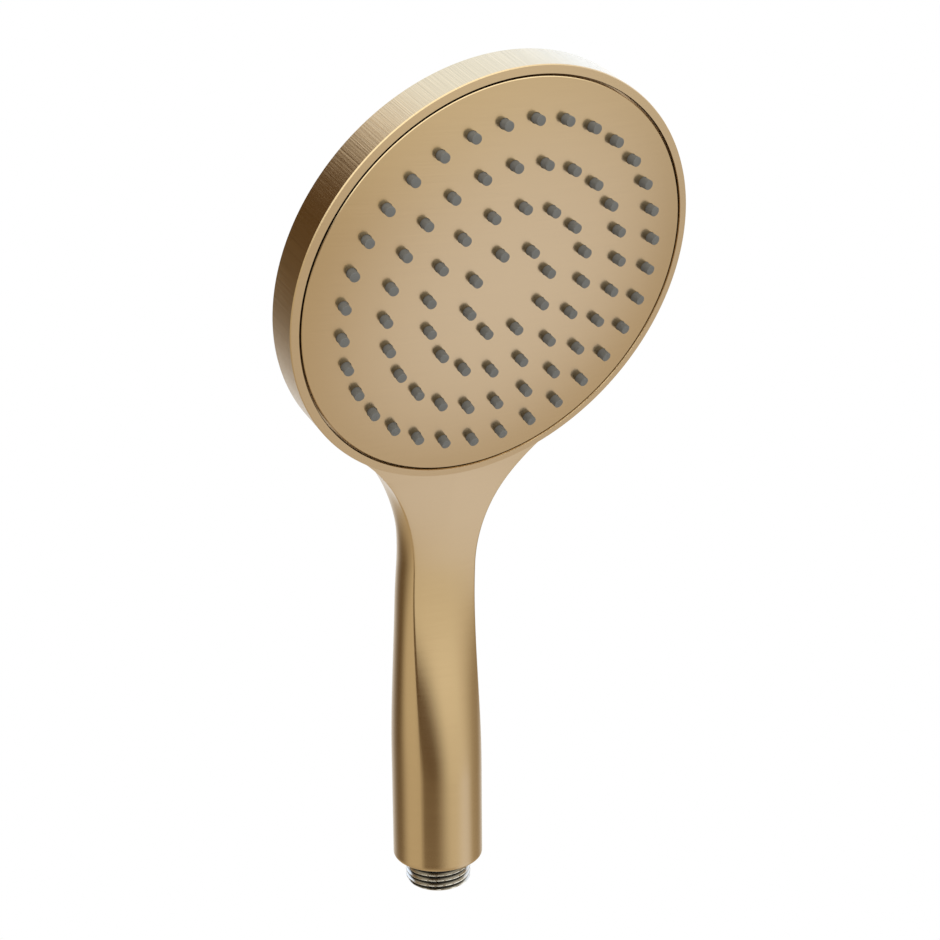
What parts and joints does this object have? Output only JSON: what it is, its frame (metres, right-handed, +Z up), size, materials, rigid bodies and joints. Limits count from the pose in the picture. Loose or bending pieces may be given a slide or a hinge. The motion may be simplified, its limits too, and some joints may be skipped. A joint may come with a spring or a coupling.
{
  "type": "hand shower",
  "caption": "Slim round hand shower with a domed spray plate, rubber nozzles, a waisted handle that flares into the head, and a half-inch hose thread.",
  "frame": {"origin": "on the axis of the straight grip, in the plane of its lower end, where the hose thread starts", "axes": "+Z up along the straight grip, the spray face looks towards -Y and tilts down, +X to the right hand of the spray face's mirror plane"},
  "size_m": [0.13, 0.0722, 0.2674],
  "materials": {
    "brushed_brass": "fine brushed champagne brass plating",
    "grey_silicone": "matt grey silicone",
    "inner_plastic": "plain moulded",
    "screw_steel": "plain",
    "seal_rubber": "matt black",
    "plated_nipple": "bright plated thread"
  },
  "bodies": {
    "root": {"body_shell": "brushed_brass", "spray_plate": "brushed_brass", "nozzle_mat": "grey_silicone", "chamber_cover": "inner_plastic", "cover_screws": "screw_steel", "waterway_tube": "inner_plastic", "spout_seal": "seal_rubber", "inlet_seal": "seal_rubber", "inlet_nipple": "plated_nipple", "regulator_cup": "inner_plastic", "regulator_ring": "seal_rubber", "inlet_filter": "inner_plastic"}
  },
  "joints": []
}
